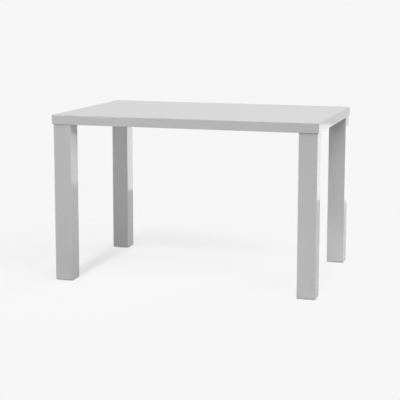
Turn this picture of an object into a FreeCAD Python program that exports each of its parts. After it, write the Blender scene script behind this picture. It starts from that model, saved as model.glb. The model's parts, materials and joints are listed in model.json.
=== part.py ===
"""A parsons dining table: a hollow-core top on four square box legs, as its separate pieces.

Millimetres. X runs along the table, Y across it and Z up. The origin is on the floor under the
middle of the top. The front of the table is at -Y and its left end at -X.
"""

import FreeCAD
import Part
import math
import os

Vector = FreeCAD.Vector

# ---- The table as a whole -----------------------------------------------------------------------
TABLE_LENGTH = 1200.0
TABLE_WIDTH = 800.0
TABLE_HEIGHT = 750.0
TOP_OVERHANG = 6.0  # the top stands this far out past the legs' outward faces

# ---- The top: two skins on a frame of rails, with a paper honeycomb in the bays -----------------
TOP_THICKNESS = 42.0
SKIN_THICKNESS = 4.0
TOP_EDGE_RADIUS = 2.0
EDGE_RAIL_WIDTH = 40.0
CROSS_RAIL_WIDTH = 36.0
CORNER_BLOCK_MARGIN = 22.0  # wood past the centres of a leg's innermost bolts

# ---- The dowels at the frame's butt joints ------------------------------------------------------
DOWEL_RADIUS = 4.0
DOWEL_LENGTH = 40.0
DOWEL_PITCH = 18.0
DOWEL_CHAMFER = 1.0
DOWEL_HOLE_SPARE = 1.0  # the holes are this much deeper at each end

# ---- The honeycomb: zigzag ribbons of paper, glued to each other along their flats --------------
CELL_ACROSS_FLATS = 70.0
PAPER_THICKNESS = 0.8
GLUE_LINE = 0.1  # between the flats of two ribbons

# ---- The legs: four mitred boards round three blocks --------------------------------------------
LEG_SIDE = 80.0
LEG_BOARD_THICKNESS = 12.0
LEG_EDGE_RADIUS = 1.5
LEG_HEAD_GAP = 1.5  # between the two outward boards and the top
HEAD_BLOCK_HEIGHT = 70.0
MIDDLE_BLOCK_HEIGHT = 40.0
FOOT_BLOCK_HEIGHT = 50.0

# ---- The steel plate on each leg's head, with a flange past the leg's two inward faces ----------
PLATE_THICKNESS = 3.0
PLATE_FLANGE = 34.0
PLATE_CORNER_RADIUS = 8.0
PLATE_SCREW_PITCH = 34.0

# ---- Wood screws that hold the plate to the head block ------------------------------------------
PLATE_SCREW_RADIUS = 2.25
PLATE_SCREW_HEAD_RADIUS = 4.4
PLATE_SCREW_HEAD_HEIGHT = 2.5
PLATE_SCREW_LENGTH = 35.0
PLATE_SCREW_POINT = 5.0

# ---- Low-head socket bolts, their washers, and the threaded inserts that they screw into --------
BOLT_RADIUS = 3.0
BOLT_LENGTH = 20.0
BOLT_HEAD_RADIUS = 5.0
BOLT_HEAD_HEIGHT = 4.0
BOLT_HEAD_CHAMFER = 0.6
BOLT_KEY = 4.0  # across the flats of the hexagon socket
BOLT_SOCKET_DEPTH = 2.3
WASHER_RADIUS = 9.0
WASHER_THICKNESS = 1.6
SPRING_WASHER_RADIUS = 5.4
SPRING_WASHER_THICKNESS = 1.6
SPRING_WASHER_SLIT = 1.2
INSERT_RADIUS = 5.0
INSERT_LENGTH = 15.0
INSERT_HOLE_SPARE = 3.0  # the drilled hole goes this much deeper than the insert and its bolt

# ---- The glides under the legs, and the screws that hold them -----------------------------------
GLIDE_RADIUS = 27.0
GLIDE_THICKNESS = 3.0
GLIDE_CHAMFER = 0.8
GLIDE_SCREW_RADIUS = 1.75
GLIDE_SCREW_HEAD_RADIUS = 3.6
GLIDE_SCREW_HEAD_HEIGHT = 1.8
GLIDE_SCREW_RECESS = 0.7  # the head's face lies this far above the floor
GLIDE_SCREW_LENGTH = 20.0
GLIDE_SCREW_POINT = 4.0

# ---- Clearances ---------------------------------------------------------------------------------
BOLT_HOLE_CLEARANCE = 0.3  # round a bolt, in the plate and the washers
PLATE_CLEARANCE = 0.3  # between a plate and the leg's two outward boards
FIT_CLEARANCE = 0.05  # round a screw, a dowel, an insert, or a bolt in its insert

# ---- Levels, worked up from the floor and down from the top -------------------------------------
LEG_FOOT_Z = GLIDE_THICKNESS
UNDERSIDE_Z = TABLE_HEIGHT - TOP_THICKNESS
PLATE_Z = UNDERSIDE_Z - PLATE_THICKNESS
LEG_HEAD_Z = UNDERSIDE_Z - LEG_HEAD_GAP
CORE_FLOOR_Z = UNDERSIDE_Z + SKIN_THICKNESS
CORE_CEILING_Z = TABLE_HEIGHT - SKIN_THICKNESS
BOLT_SEAT_Z = PLATE_Z - WASHER_THICKNESS - SPRING_WASHER_THICKNESS
BOLT_TIP_Z = BOLT_SEAT_Z + BOLT_LENGTH
INSERT_HOLE_TOP_Z = max(UNDERSIDE_Z + INSERT_LENGTH, BOLT_TIP_Z) + INSERT_HOLE_SPARE

# ---- Places in plan; the ones of a leg's pieces are measured from the leg's axis ----------------
HALF_LENGTH = TABLE_LENGTH / 2
HALF_WIDTH = TABLE_WIDTH / 2
LEG_X = HALF_LENGTH - TOP_OVERHANG - LEG_SIDE / 2
LEG_Y = HALF_WIDTH - TOP_OVERHANG - LEG_SIDE / 2
LEG_BORE = LEG_SIDE / 2 - LEG_BOARD_THICKNESS
PLATE_OUT = LEG_BORE - PLATE_CLEARANCE  # the plate's outward edges
PLATE_IN = LEG_SIDE / 2 + PLATE_FLANGE  # the flange's inward edges
BOLT_IN = LEG_SIDE / 2 + PLATE_FLANGE / 2  # the bolts' centres, along the middle of the flange
BOLT_OUT = PLATE_OUT - PLATE_FLANGE  # the centre of the bolt at the flange's outward end
BOLT_MIDDLE = (BOLT_OUT - BOLT_IN) / 2  # the bolt between that one and the one in the corner
FRAME_INSIDE_X = HALF_LENGTH - EDGE_RAIL_WIDTH
FRAME_INSIDE_Y = HALF_WIDTH - EDGE_RAIL_WIDTH
BLOCK_INSIDE_X = LEG_X - BOLT_IN - CORNER_BLOCK_MARGIN
BLOCK_INSIDE_Y = LEG_Y - BOLT_IN - CORNER_BLOCK_MARGIN
CENTRE_BAY_X = BLOCK_INSIDE_X - CROSS_RAIL_WIDTH

CORNERS = {
    "front_left": (-1, -1),
    "front_right": (1, -1),
    "back_left": (-1, 1),
    "back_right": (1, 1),
}


# ---- Plain shapes -------------------------------------------------------------------------------
def block(x_from, x_to, y_from, y_to, z_from, z_to):
    """A rectangular block between the given planes."""
    corner = Vector(x_from, y_from, z_from)
    return Part.makeBox(x_to - x_from, y_to - y_from, z_to - z_from, corner)


def prism(points, z_from, z_to):
    """A straight prism on a closed polygon of (x, y) points."""
    corners = [Vector(x, y, z_from) for x, y in points]
    outline = Part.makePolygon(corners + corners[:1])
    return Part.Face(outline).extrude(Vector(0, 0, z_to - z_from))


def turned(points):
    """A solid turned about the Z axis from a closed outline of (radius, z) points."""
    corners = [Vector(radius, 0, z) for radius, z in points]
    outline = Part.Face(Part.makePolygon(corners + corners[:1]))
    return outline.revolve(Vector(0, 0, 0), Vector(0, 0, 1), 360)


def ring(outer_radius, inner_radius, height):
    """A flat ring that stands on z = 0."""
    outside = Part.makeCylinder(outer_radius, height)
    return outside.cut(Part.makeCylinder(inner_radius, height))


def upright_edges(solid):
    """The edges of a straight prism that join its two ends."""
    return [edge for edge in solid.Edges if edge.BoundBox.ZLength > solid.BoundBox.ZLength / 2]


def moved(shape, x, y, z):
    """A copy of a shape, moved from the origin to a place."""
    copy = shape.copy()
    copy.translate(Vector(x, y, z))
    return copy


def without(solid, tools):
    """A solid with holes or pockets taken out of it."""
    return solid.cut(Part.makeCompound(tools))


# ---- The top ------------------------------------------------------------------------------------
def top_slab():
    """The top's outer form: a slab with all its outer edges rounded."""
    slab = block(-HALF_LENGTH, HALF_LENGTH, -HALF_WIDTH, HALF_WIDTH, UNDERSIDE_Z, TABLE_HEIGHT)
    return slab.makeFillet(TOP_EDGE_RADIUS, slab.Edges)


def bolt_places(side_x, side_y):
    """The places in plan of one leg's bolts: a row along its flange, far in from the long edge.

    The top's lower edge hides their heads from a person who stands at a long side of the table.
    """
    offsets = [(BOLT_OUT, -BOLT_IN), (BOLT_MIDDLE, -BOLT_IN), (-BOLT_IN, -BOLT_IN)]
    return [(side_x * (LEG_X + dx), side_y * (LEG_Y + dy)) for dx, dy in offsets]


def all_bolt_places():
    """The places in plan of every leg bolt on the table."""
    return [place for sides in CORNERS.values() for place in bolt_places(*sides)]


def insert_holes():
    """The holes drilled up into the top for the threaded inserts."""
    hole = Part.makeCylinder(INSERT_RADIUS + FIT_CLEARANCE, INSERT_HOLE_TOP_Z - UNDERSIDE_Z)
    return [moved(hole, x, y, UNDERSIDE_Z) for x, y in all_bolt_places()]


def skins():
    """The top skin and the underside skin, cut from the top's outer form."""
    slab = top_slab()
    plan = (-HALF_LENGTH, HALF_LENGTH, -HALF_WIDTH, HALF_WIDTH)
    underside_skin = slab.common(block(*plan, UNDERSIDE_Z, CORE_FLOOR_Z))
    return {
        "top_skin": slab.common(block(*plan, CORE_CEILING_Z, TABLE_HEIGHT)),
        "underside_skin": without(underside_skin, insert_holes()),
    }


def dowel():
    """A dowel along Y, centred on the origin, with both its ends chamfered."""
    half = DOWEL_LENGTH / 2
    neck = DOWEL_RADIUS - DOWEL_CHAMFER
    form = turned([
        (0, -half),
        (neck, -half),
        (DOWEL_RADIUS, -half + DOWEL_CHAMFER),
        (DOWEL_RADIUS, half - DOWEL_CHAMFER),
        (neck, half),
        (0, half),
    ])
    form.rotate(Vector(0, 0, 0), Vector(1, 0, 0), 90)
    return form


def dowel_hole():
    """The hole for one dowel along Y, centred on the origin: half is in each of two rails."""
    length = DOWEL_LENGTH + 2 * DOWEL_HOLE_SPARE
    start = Vector(0, -length / 2, 0)
    return Part.makeCylinder(DOWEL_RADIUS + FIT_CLEARANCE, length, start, Vector(0, 1, 0))


def at_frame_joints(form):
    """Copies of a dowel, or of its hole, two at each butt joint of the frame."""
    rail_middles = (HALF_LENGTH - EDGE_RAIL_WIDTH / 2, CENTRE_BAY_X + CROSS_RAIL_WIDTH / 2)
    middle_z = (CORE_FLOOR_Z + CORE_CEILING_Z) / 2
    copies = []
    for side_x, side_y in CORNERS.values():
        for middle in rail_middles:
            for offset in (-DOWEL_PITCH / 2, DOWEL_PITCH / 2):
                copies.append(moved(form, side_x * middle + offset, side_y * FRAME_INSIDE_Y, middle_z))
    return copies


def frame():
    """The frame: front and back rails run the full length, and the others butt against them."""
    slab = top_slab()
    core = (CORE_FLOOR_Z, CORE_CEILING_Z)
    short = (-FRAME_INSIDE_Y, FRAME_INSIDE_Y)
    plans = {
        "front_edge_rail": (-HALF_LENGTH, HALF_LENGTH, -HALF_WIDTH, -FRAME_INSIDE_Y),
        "back_edge_rail": (-HALF_LENGTH, HALF_LENGTH, FRAME_INSIDE_Y, HALF_WIDTH),
        "left_edge_rail": (-HALF_LENGTH, -FRAME_INSIDE_X, *short),
        "right_edge_rail": (FRAME_INSIDE_X, HALF_LENGTH, *short),
        "left_cross_rail": (-BLOCK_INSIDE_X, -CENTRE_BAY_X, *short),
        "right_cross_rail": (CENTRE_BAY_X, BLOCK_INSIDE_X, *short),
    }
    for corner, (side_x, side_y) in CORNERS.items():
        across_x = sorted((side_x * BLOCK_INSIDE_X, side_x * FRAME_INSIDE_X))
        across_y = sorted((side_y * BLOCK_INSIDE_Y, side_y * FRAME_INSIDE_Y))
        plans[f"{corner}_corner_block"] = (*across_x, *across_y)
    holes = at_frame_joints(dowel_hole()) + insert_holes()
    made = {name: without(slab.common(block(*plan, *core)), holes) for name, plan in plans.items()}
    made["frame_dowels"] = Part.makeCompound(at_frame_joints(dowel()))
    return made


# ---- The honeycomb ------------------------------------------------------------------------------
def ribbon_side(period, periods, swing, starts_high, side):
    """One side of a zigzag ribbon's outline, as (x, y) points; side is +1 above and -1 below.

    In each period the ribbon runs flat for a third at each level and slopes between them, and it
    starts and ends in the middle of a flat. Its corners are mitred, so that the paper is as thick
    on the slopes as on the flats.
    """
    flat = period / 3
    slope_run = period / 2 - flat
    half_paper = PAPER_THICKNESS / 2
    mitre = half_paper * math.tan(math.atan2(2 * swing, slope_run) / 2)
    level = 1 if starts_high else -1
    points = [(0.0, level * swing + side * half_paper)]
    for step in range(2 * periods):
        slope_start = step * period / 2 + flat / 2 + mitre * side * level
        points.append((slope_start, level * swing + side * half_paper))
        points.append((slope_start + slope_run, -level * swing + side * half_paper))
        level = -level
    points.append((periods * period, level * swing + side * half_paper))
    return points


def honeycomb(run, stack):
    """Ribbons that fill a bay, run long by stack wide, from the origin; the cells stretch to fit."""
    hexagon_side = CELL_ACROSS_FLATS / math.sqrt(3)
    periods = max(1, round(run / (3 * hexagon_side)))
    ribbons = max(1, round(stack / (CELL_ACROSS_FLATS / 2)))
    period = run / periods
    layer = stack / ribbons
    swing = (layer - GLUE_LINE - PAPER_THICKNESS) / 2
    made = []
    for number in range(ribbons):
        starts_high = number % 2 == 0
        above = ribbon_side(period, periods, swing, starts_high, 1)
        below = ribbon_side(period, periods, swing, starts_high, -1)
        strip = prism(below + above[::-1], CORE_FLOOR_Z, CORE_CEILING_Z)
        made.append(moved(strip, 0, (number + 0.5) * layer, 0))
    return Part.makeCompound(made)


def honeycomb_cores():
    """The honeycomb in the wide bay between the cross rails, and in the two end bays."""
    centre = honeycomb(2 * CENTRE_BAY_X, 2 * FRAME_INSIDE_Y)
    end = honeycomb(2 * BLOCK_INSIDE_Y, FRAME_INSIDE_X - BLOCK_INSIDE_X)
    end.rotate(Vector(0, 0, 0), Vector(0, 0, 1), 90)
    return {
        "left_honeycomb_core": moved(end, -BLOCK_INSIDE_X, -BLOCK_INSIDE_Y, 0),
        "centre_honeycomb_core": moved(centre, -CENTRE_BAY_X, -FRAME_INSIDE_Y, 0),
        "right_honeycomb_core": moved(end, FRAME_INSIDE_X, -BLOCK_INSIDE_Y, 0),
    }


# ---- Fasteners ----------------------------------------------------------------------------------
def countersunk_form(shank, head, head_height, length, point, clearance):
    """A countersunk wood screw that points down from z = 0, or with a clearance, its hole."""
    return turned([
        (0, 0),
        (head + clearance, 0),
        (shank + clearance, -head_height),
        (shank + clearance, point - length),
        (0, -length),
    ])


def plate_screw(clearance=0.0):
    """A screw that holds a plate to a head block, or its hole."""
    head = (PLATE_SCREW_HEAD_RADIUS, PLATE_SCREW_HEAD_HEIGHT)
    return countersunk_form(PLATE_SCREW_RADIUS, *head, PLATE_SCREW_LENGTH, PLATE_SCREW_POINT, clearance)


def glide_screw(clearance=0.0):
    """A screw that holds a glide to a foot block, or its hole; it points up from z = 0."""
    head = (GLIDE_SCREW_HEAD_RADIUS, GLIDE_SCREW_HEAD_HEIGHT)
    form = countersunk_form(GLIDE_SCREW_RADIUS, *head, GLIDE_SCREW_LENGTH, GLIDE_SCREW_POINT, clearance)
    form.rotate(Vector(0, 0, 0), Vector(1, 0, 0), 180)
    return form


def plate_screw_offsets():
    """Where a plate's screws are, from the leg's axis: at the corners of a square."""
    half = PLATE_SCREW_PITCH / 2
    return [(-half, -half), (half, -half), (half, half), (-half, half)]


def socket_bolt():
    """A hexagon socket bolt, head down, with the underside of its head at z = 0."""
    blank = turned([
        (0, -BOLT_HEAD_HEIGHT),
        (BOLT_HEAD_RADIUS - BOLT_HEAD_CHAMFER, -BOLT_HEAD_HEIGHT),
        (BOLT_HEAD_RADIUS, -BOLT_HEAD_HEIGHT + BOLT_HEAD_CHAMFER),
        (BOLT_HEAD_RADIUS, 0),
        (BOLT_RADIUS, 0),
        (BOLT_RADIUS, BOLT_LENGTH),
        (0, BOLT_LENGTH),
    ])
    corner_radius = BOLT_KEY / math.sqrt(3)
    angles = [math.radians(60 * corner) for corner in range(6)]
    hexagon = [(corner_radius * math.cos(a), corner_radius * math.sin(a)) for a in angles]
    return blank.cut(prism(hexagon, -BOLT_HEAD_HEIGHT, -BOLT_HEAD_HEIGHT + BOLT_SOCKET_DEPTH))


def spring_washer():
    """A split ring that stands on z = 0."""
    whole = ring(SPRING_WASHER_RADIUS, BOLT_RADIUS + BOLT_HOLE_CLEARANCE, SPRING_WASHER_THICKNESS)
    half_slit = SPRING_WASHER_SLIT / 2
    slit = block(0, SPRING_WASHER_RADIUS, -half_slit, half_slit, 0, SPRING_WASHER_THICKNESS)
    return whole.cut(slit)


def bolts_and_screws():
    """Every bolt, washer, insert and screw; each kind is one group of separate solids."""
    flat_washer = ring(WASHER_RADIUS, BOLT_RADIUS + BOLT_HOLE_CLEARANCE, WASHER_THICKNESS)
    insert = ring(INSERT_RADIUS, BOLT_RADIUS + FIT_CLEARANCE, INSERT_LENGTH)
    legs_at = [(side_x * LEG_X, side_y * LEG_Y) for side_x, side_y in CORNERS.values()]
    screws_at = [(x + dx, y + dy) for x, y in legs_at for dx, dy in plate_screw_offsets()]
    bolts_at = all_bolt_places()
    groups = {
        "leg_bolts": (socket_bolt(), bolts_at, BOLT_SEAT_Z),
        "spring_washers": (spring_washer(), bolts_at, BOLT_SEAT_Z),
        "flat_washers": (flat_washer, bolts_at, PLATE_Z - WASHER_THICKNESS),
        "threaded_inserts": (insert, bolts_at, UNDERSIDE_Z),
        "plate_screws": (plate_screw(), screws_at, UNDERSIDE_Z),
        "glide_screws": (glide_screw(), legs_at, GLIDE_SCREW_RECESS),
    }
    made = {}
    for name, (piece, places, z) in groups.items():
        made[name] = Part.makeCompound([moved(piece, x, y, z) for x, y in places])
    return made


# ---- The legs -----------------------------------------------------------------------------------
def leg_tube():
    """The four boards as one square tube on the Z axis, rounded at its corners and its foot."""
    half = LEG_SIDE / 2
    outside = block(-half, half, -half, half, LEG_FOOT_Z, LEG_HEAD_Z)
    all_but_top_edges = [edge for edge in outside.Edges if edge.BoundBox.ZMin < LEG_HEAD_Z / 2]
    outside = outside.makeFillet(LEG_EDGE_RADIUS, all_but_top_edges)
    return outside.cut(block(-LEG_BORE, LEG_BORE, -LEG_BORE, LEG_BORE, LEG_FOOT_Z, LEG_HEAD_Z))


def leg_boards(side_x, side_y):
    """The tube, cut down under the plate and then along its mitres into four boards."""
    recess_x = sorted((side_x * LEG_BORE, -side_x * PLATE_IN))
    recess_y = sorted((side_y * LEG_BORE, -side_y * PLATE_IN))
    tube = leg_tube().cut(block(*recess_x, *recess_y, PLATE_Z, UNDERSIDE_Z))
    made = {}
    for turn, face in enumerate(("front", "right", "back", "left")):
        wedge = prism([(0, 0), (-LEG_SIDE, -LEG_SIDE), (LEG_SIDE, -LEG_SIDE)], 0, TABLE_HEIGHT)
        wedge.rotate(Vector(0, 0, 0), Vector(0, 0, 1), 90 * turn)
        made[f"{face}_board"] = tube.common(wedge)
    return made


def leg_blocks():
    """The blocks glued inside a leg, on the Z axis."""
    plan = (-LEG_BORE, LEG_BORE, -LEG_BORE, LEG_BORE)
    middle_z = (LEG_FOOT_Z + LEG_HEAD_Z - MIDDLE_BLOCK_HEIGHT) / 2
    screw_hole = plate_screw(FIT_CLEARANCE)
    screw_holes = [moved(screw_hole, dx, dy, UNDERSIDE_Z) for dx, dy in plate_screw_offsets()]
    glide_hole = moved(glide_screw(FIT_CLEARANCE), 0, 0, GLIDE_SCREW_RECESS)
    return {
        "head_block": without(block(*plan, PLATE_Z - HEAD_BLOCK_HEIGHT, PLATE_Z), screw_holes),
        "middle_block": block(*plan, middle_z, middle_z + MIDDLE_BLOCK_HEIGHT),
        "foot_block": without(block(*plan, LEG_FOOT_Z, LEG_FOOT_Z + FOOT_BLOCK_HEIGHT), [glide_hole]),
    }


def leg_plate(side_x, side_y):
    """One leg's steel plate, round the leg's axis: a square with two corners cut off.

    Its flange is at its full width along the row of bolts, and narrows along the other side.
    """
    cut_x = PLATE_OUT - PLATE_FLANGE
    outline = [
        (PLATE_OUT, PLATE_OUT),
        (-LEG_SIDE / 2, PLATE_OUT),
        (-PLATE_IN, -LEG_SIDE / 2),
        (-PLATE_IN, -PLATE_IN),
        (cut_x, -PLATE_IN),
        (PLATE_OUT, -LEG_SIDE / 2),
    ]
    plate = prism([(side_x * x, side_y * y) for x, y in outline], PLATE_Z, UNDERSIDE_Z)
    plate = plate.makeFillet(PLATE_CORNER_RADIUS, upright_edges(plate))
    bolt_hole = Part.makeCylinder(BOLT_RADIUS + BOLT_HOLE_CLEARANCE, PLATE_THICKNESS)
    screw_hole = plate_screw(FIT_CLEARANCE)
    bolts_at = [(x - side_x * LEG_X, y - side_y * LEG_Y) for x, y in bolt_places(side_x, side_y)]
    holes = [moved(bolt_hole, x, y, PLATE_Z) for x, y in bolts_at]
    holes += [moved(screw_hole, dx, dy, UNDERSIDE_Z) for dx, dy in plate_screw_offsets()]
    return without(plate, holes)


def glide():
    """A round glide under a leg, on the Z axis, with a place for its screw's head."""
    disc = turned([
        (0, 0),
        (GLIDE_RADIUS - GLIDE_CHAMFER, 0),
        (GLIDE_RADIUS, GLIDE_CHAMFER),
        (GLIDE_RADIUS, GLIDE_THICKNESS),
        (0, GLIDE_THICKNESS),
    ])
    mouth = Part.makeCylinder(GLIDE_SCREW_HEAD_RADIUS + FIT_CLEARANCE, GLIDE_SCREW_RECESS)
    return without(disc, [mouth, moved(glide_screw(FIT_CLEARANCE), 0, 0, GLIDE_SCREW_RECESS)])


def legs():
    """Every piece of the four legs, with the plates on them and the glides under them."""
    made = {}
    for corner, (side_x, side_y) in CORNERS.items():
        pieces = {**leg_boards(side_x, side_y), **leg_blocks(), "plate": leg_plate(side_x, side_y)}
        pieces["glide"] = glide()
        for name, piece in pieces.items():
            made[f"{corner}_leg_{name}"] = moved(piece, side_x * LEG_X, side_y * LEG_Y, 0)
    return made


# ---- The whole table ----------------------------------------------------------------------------
def table():
    """Every piece of the table, by name."""
    return {**skins(), **frame(), **honeycomb_cores(), **legs(), **bolts_and_screws()}


def save(pieces, folder="parts"):
    """Writes each piece to its own STEP file, and says how large it is."""
    os.makedirs(folder, exist_ok=True)
    for name, shape in pieces.items():
        solids = shape.Solids
        assert solids and all(solid.isValid() and solid.Volume > 0 for solid in solids), name
        shape = solids[0] if len(solids) == 1 else Part.makeCompound(solids)
        shape.exportStep(os.path.join(folder, f"{name}.step"))
        print(f"{name}: {len(solids)} solid(s), {sum(solid.Volume for solid in solids) / 1000:.2f} cm3")
    print(f"{len(pieces)} pieces")


save(table())
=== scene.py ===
# %% [markdown]
# # A Parsons dining table in grey gloss lacquer
#
# A Parsons table is a slab on four square legs that stand under its corners. This one is built as
# gloss furniture usually is: thin board skins on a frame of rails with a paper honeycomb between
# them, and hollow legs of mitred boards that are bolted to the top. The whole outside is sprayed
# and polished, so hardly any joint shows.
#
# The board, the blocks, the honeycomb and the leg plates come from a CAD model at their true size.
# This lesson gives them their finishes, makes the small hardware with its threads and recesses,
# and stands the table in a pale studio.

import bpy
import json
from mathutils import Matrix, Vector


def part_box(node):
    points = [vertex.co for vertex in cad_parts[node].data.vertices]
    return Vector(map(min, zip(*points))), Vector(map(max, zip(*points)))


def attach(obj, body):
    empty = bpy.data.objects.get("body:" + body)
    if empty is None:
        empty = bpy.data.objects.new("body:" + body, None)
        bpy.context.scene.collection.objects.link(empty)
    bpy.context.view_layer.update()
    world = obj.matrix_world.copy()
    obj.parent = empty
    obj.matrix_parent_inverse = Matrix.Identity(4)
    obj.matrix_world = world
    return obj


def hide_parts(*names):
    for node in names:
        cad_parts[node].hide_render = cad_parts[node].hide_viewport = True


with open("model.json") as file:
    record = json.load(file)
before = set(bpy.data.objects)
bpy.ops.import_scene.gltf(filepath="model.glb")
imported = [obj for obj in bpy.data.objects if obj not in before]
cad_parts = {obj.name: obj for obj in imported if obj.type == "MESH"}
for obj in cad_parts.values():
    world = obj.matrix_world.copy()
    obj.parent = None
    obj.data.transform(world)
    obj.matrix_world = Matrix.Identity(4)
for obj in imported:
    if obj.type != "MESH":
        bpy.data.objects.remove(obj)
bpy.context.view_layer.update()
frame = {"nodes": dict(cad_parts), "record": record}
cad_nodes = frame["nodes"]

# %% [markdown]
# ## Where things are
#
# The hardware has to sit where the CAD model has it. Most places can be read from the CAD nodes:
# a glide is centred under its leg, so its box gives the leg's axis, and the lowest point of the
# underside skin is the level that the plates are bolted against. Only the pattern of the holes in
# a plate is written down here, in millimetres from the leg's axis towards the table's middle.

# %% Read the levels and the legs' axes
import json
import math

import bmesh
import bpy
from mathutils import Matrix, Vector

CORNERS = {"front_left": (-1, -1), "front_right": (1, -1), "back_left": (-1, 1), "back_right": (1, 1)}
BOLT_PATTERN = [(6.3, 57), (31.65, 57), (57, 57)]
PLATE_SCREW_PATTERN = [(-17, -17), (17, -17), (17, 17), (-17, 17)]


def millimetres(metres):
    """A length of the CAD model, in the millimetres that the hardware is modelled in."""
    return metres * 1000


leg_axes = {}
for corner in CORNERS:
    low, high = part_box(f"{corner}_leg_glide")
    leg_axes[corner] = (millimetres(low.x + high.x) / 2, millimetres(low.y + high.y) / 2)

underside = millimetres(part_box("underside_skin")[0].z)
plate_bottom = millimetres(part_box("front_left_leg_plate")[0].z)
print("underside at", round(underside, 1), "mm, leg axes at", leg_axes)

# %% [markdown]
# ## Shared surface effects
#
# Real finishes share a few effects: a slow drift of tone, a fine relief, fibres, and the marks of
# handling. Each could be wired afresh in every material, but as a node group it is built once and
# then placed with that material's own values. All of them read Object coordinates, which are
# metres here, so every size below is a real size.

# %% Helpers that add nodes


def add_node(tree, kind, inputs=None, **settings):
    """Adds a node; an input is either a value or the output socket that feeds it."""
    node = tree.nodes.new(kind)
    for name, value in settings.items():
        setattr(node, name, value)
    for socket, value in (inputs or {}).items():
        if isinstance(value, bpy.types.NodeSocket):
            tree.links.new(value, node.inputs[socket])
        else:
            node.inputs[socket].default_value = value
    return node


def math_node(tree, operation, first, second=0.0):
    """A Math node's result."""
    return add_node(tree, "ShaderNodeMath", {0: first, 1: second}, operation=operation).outputs[0]


def vector_math(tree, operation, first, second=(0.0, 0.0, 0.0)):
    """A Vector Math node's outputs: its vector comes first, and Value is for distances."""
    return add_node(tree, "ShaderNodeVectorMath", {0: first, 1: second}, operation=operation).outputs


def noise(tree, vector, size, **look):
    """Noise with features of a size in metres; returns its value."""
    scale = math_node(tree, "DIVIDE", 1.0, size)
    return add_node(tree, "ShaderNodeTexNoise", {"Vector": vector, "Scale": scale, **look}).outputs[0]


def grey(level):
    """A neutral colour."""
    return (level, level, level, 1.0)


# %% Helpers that mix two things


def mix_colours(tree, factor, first, second, **settings):
    """The colour between two others; a Mix node's sockets for colours are numbers 6 and 7."""
    inputs = {"Factor": factor, 6: first, 7: second}
    return add_node(tree, "ShaderNodeMix", inputs, data_type="RGBA", **settings).outputs[2]


def multiply_colours(tree, first, second):
    """One colour times another."""
    return mix_colours(tree, 1.0, first, second, blend_type="MULTIPLY")


def mix_values(tree, factor, first, second):
    """The value between two others; its sockets are numbers 2 and 3 of the same node."""
    inputs = {"Factor": factor, 2: first, 3: second}
    return add_node(tree, "ShaderNodeMix", inputs, data_type="FLOAT").outputs[0]


def mix_shaders(tree, factor, first, second):
    """A node that lies between two shader nodes."""
    return add_node(tree, "ShaderNodeMixShader", {0: factor, 1: first.outputs[0], 2: second.outputs[0]})


# %% Helpers that stretch a value and start a group


def spread(tree, value, low, high, to_low=0.0, to_high=1.0):
    """A value stretched from one range to another, and held inside it."""
    inputs = {"Value": value, "From Min": low, "From Max": high, "To Min": to_low, "To Max": to_high}
    return add_node(tree, "ShaderNodeMapRange", inputs).outputs[0]


def new_group(name, inputs, outputs):
    """An empty node group; returns its tree, the sockets that bring values in and those that take them."""
    group = bpy.data.node_groups.new(name, "ShaderNodeTree")
    for label, (kind, default) in inputs.items():
        socket = group.interface.new_socket(label, in_out="INPUT", socket_type=kind)
        if default is not None:
            socket.default_value = default
    for label, kind in outputs.items():
        group.interface.new_socket(label, in_out="OUTPUT", socket_type=kind)
    return group, group.nodes.new("NodeGroupInput").outputs, group.nodes.new("NodeGroupOutput").inputs


VECTOR, FLOAT, COLOUR = "NodeSocketVector", "NodeSocketFloat", "NodeSocketColor"

# %% Group: Mottle, a slow drift between two tones
CLOUD_BAND = (0.3, 0.7)  # the noise between these is stretched over the whole drift

mottle, given, result = new_group(
    "Mottle",
    {"Vector": (VECTOR, None), "Size": (FLOAT, 0.1), "Light": (COLOUR, None), "Dark": (COLOUR, None)},
    {"Color": COLOUR},
)
cloud = noise(mottle, given["Vector"], given["Size"], Detail=3.0)
tone = mix_colours(mottle, spread(mottle, cloud, *CLOUD_BAND), given["Dark"], given["Light"])
mottle.links.new(tone, result["Color"])
print("group", mottle.name)

# %% Group: Relief, an even fine unevenness with its height in metres
relief, given, result = new_group(
    "Relief",
    {"Vector": (VECTOR, None), "Size": (FLOAT, 0.005), "Depth": (FLOAT, 0.00001)},
    {"Height": FLOAT},
)
bumps = noise(relief, given["Vector"], given["Size"], Detail=1.5)
relief.links.new(math_node(relief, "MULTIPLY", bumps, given["Depth"]), result["Height"])
print("group", relief.name)

# %% Group: Fibres, streaks that run along one axis
STREAK_BAND = (0.32, 0.68)

fibres, given, result = new_group(
    "Fibres",
    {
        "Vector": (VECTOR, None),
        "Stretch": (VECTOR, (1.0, 1.0, 1.0)),
        "Size": (FLOAT, 0.001),
        "Light": (COLOUR, None),
        "Dark": (COLOUR, None),
        "Depth": (FLOAT, 0.00005),
    },
    {"Color": COLOUR, "Height": FLOAT},
)
drawn = vector_math(fibres, "DIVIDE", given["Vector"], given["Stretch"])[0]
streaks = noise(fibres, drawn, given["Size"], Detail=4.0)
tone = mix_colours(fibres, spread(fibres, streaks, *STREAK_BAND), given["Dark"], given["Light"])
fibres.links.new(tone, result["Color"])
fibres.links.new(math_node(fibres, "MULTIPLY", streaks, given["Depth"]), result["Height"])
print("group", fibres.name)

# %% Group: Handling, the smudges and hairlines that change a gloss
SMUDGE_BAND, HAIR_BAND = (0.45, 0.75), (0.6, 0.72)
HAIR_TILT, HAIR_DRAW = (0.4, 0.3, 0.6), (1.0, 22.0, 22.0)
HAIR_SHARE = 0.6  # of a smudge's effect

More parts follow.
